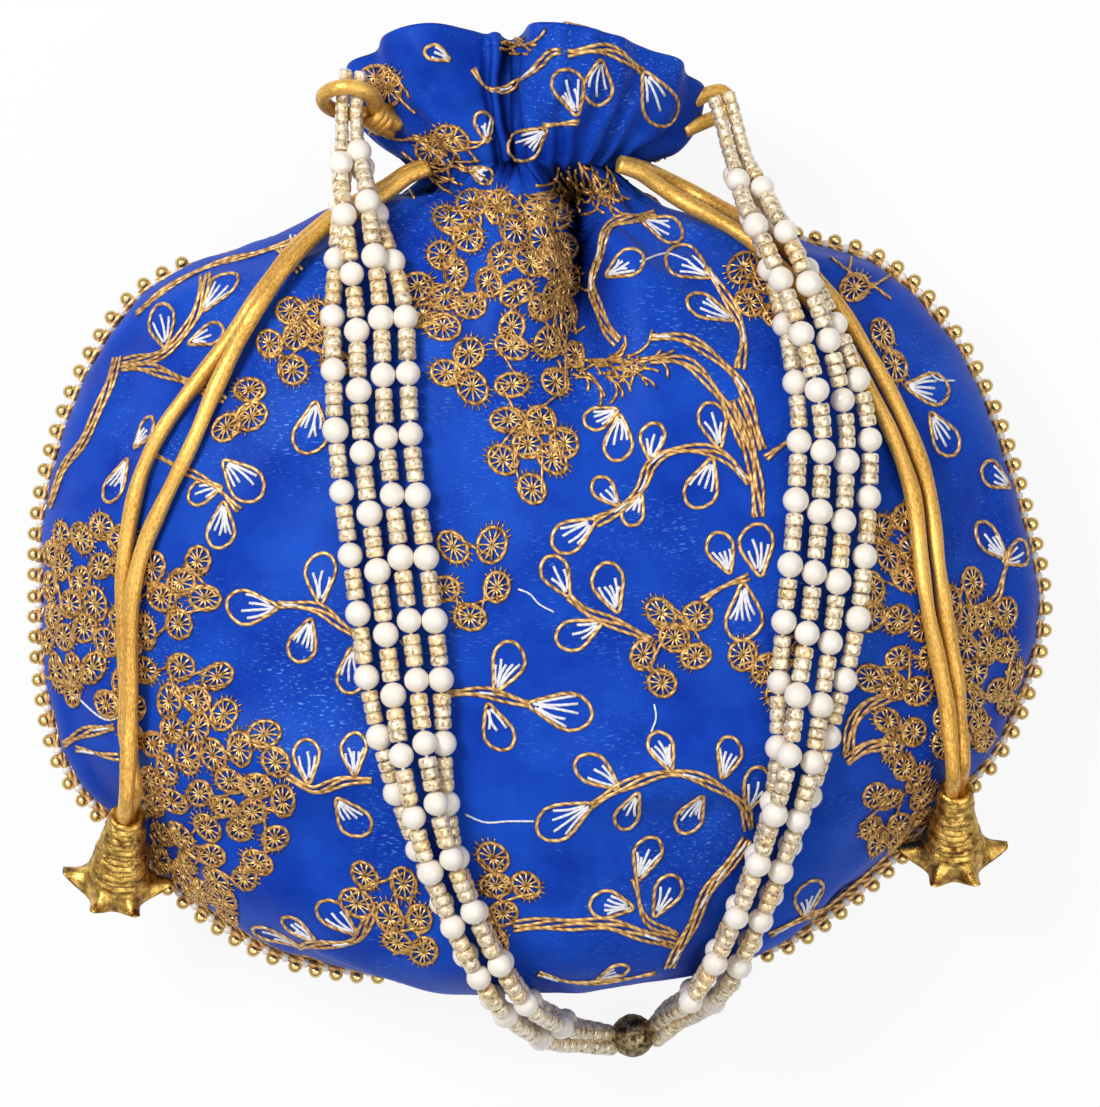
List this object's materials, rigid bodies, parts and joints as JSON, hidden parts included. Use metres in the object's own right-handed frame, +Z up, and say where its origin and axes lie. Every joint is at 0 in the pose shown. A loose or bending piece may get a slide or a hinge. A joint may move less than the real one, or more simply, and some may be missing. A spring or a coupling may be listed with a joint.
{
  "type": "potli bag",
  "caption": "Stuffed satin drawstring pouch with a ruffled mouth, zari embroidery, a ball-trimmed seam, a beaded handle and cone-ended drawstrings, lying on its back.",
  "frame": {"origin": "on the table, under the middle of the pouch's widest line", "axes": "+X to the right across the pouch, +Y from its foot to its mouth, +Z up from the table and out of its front"},
  "size_m": [0.2326, 0.2376, 0.0844],
  "materials": {
    "satin": "royal blue satin embroidered with gold zari and white thread",
    "trim": "polished gold-coloured balls on a gold and cream braid",
    "cord": "shiny gold satin cord",
    "beads": "warm white pearls and silver-lined clear seed beads",
    "antique_metal": "textured antique gold"
  },
  "bodies": {
    "root": {"pouch": "satin", "edge_trim": "trim", "drawstring_left_a": "cord", "drawstring_left_b": "cord", "drawstring_right_a": "cord", "drawstring_right_b": "cord", "cone_left": "antique_metal", "cone_right": "antique_metal", "handle_left_strand_1": "beads", "handle_left_strand_2": "beads", "handle_left_strand_3": "beads", "handle_left_strand_4": "beads", "handle_loop_left": "cord", "handle_right_strand_1": "beads", "handle_right_strand_2": "beads", "handle_right_strand_3": "beads", "handle_right_strand_4": "beads", "handle_loop_right": "cord", "spacer_bead": "antique_metal"}
  },
  "joints": []
}
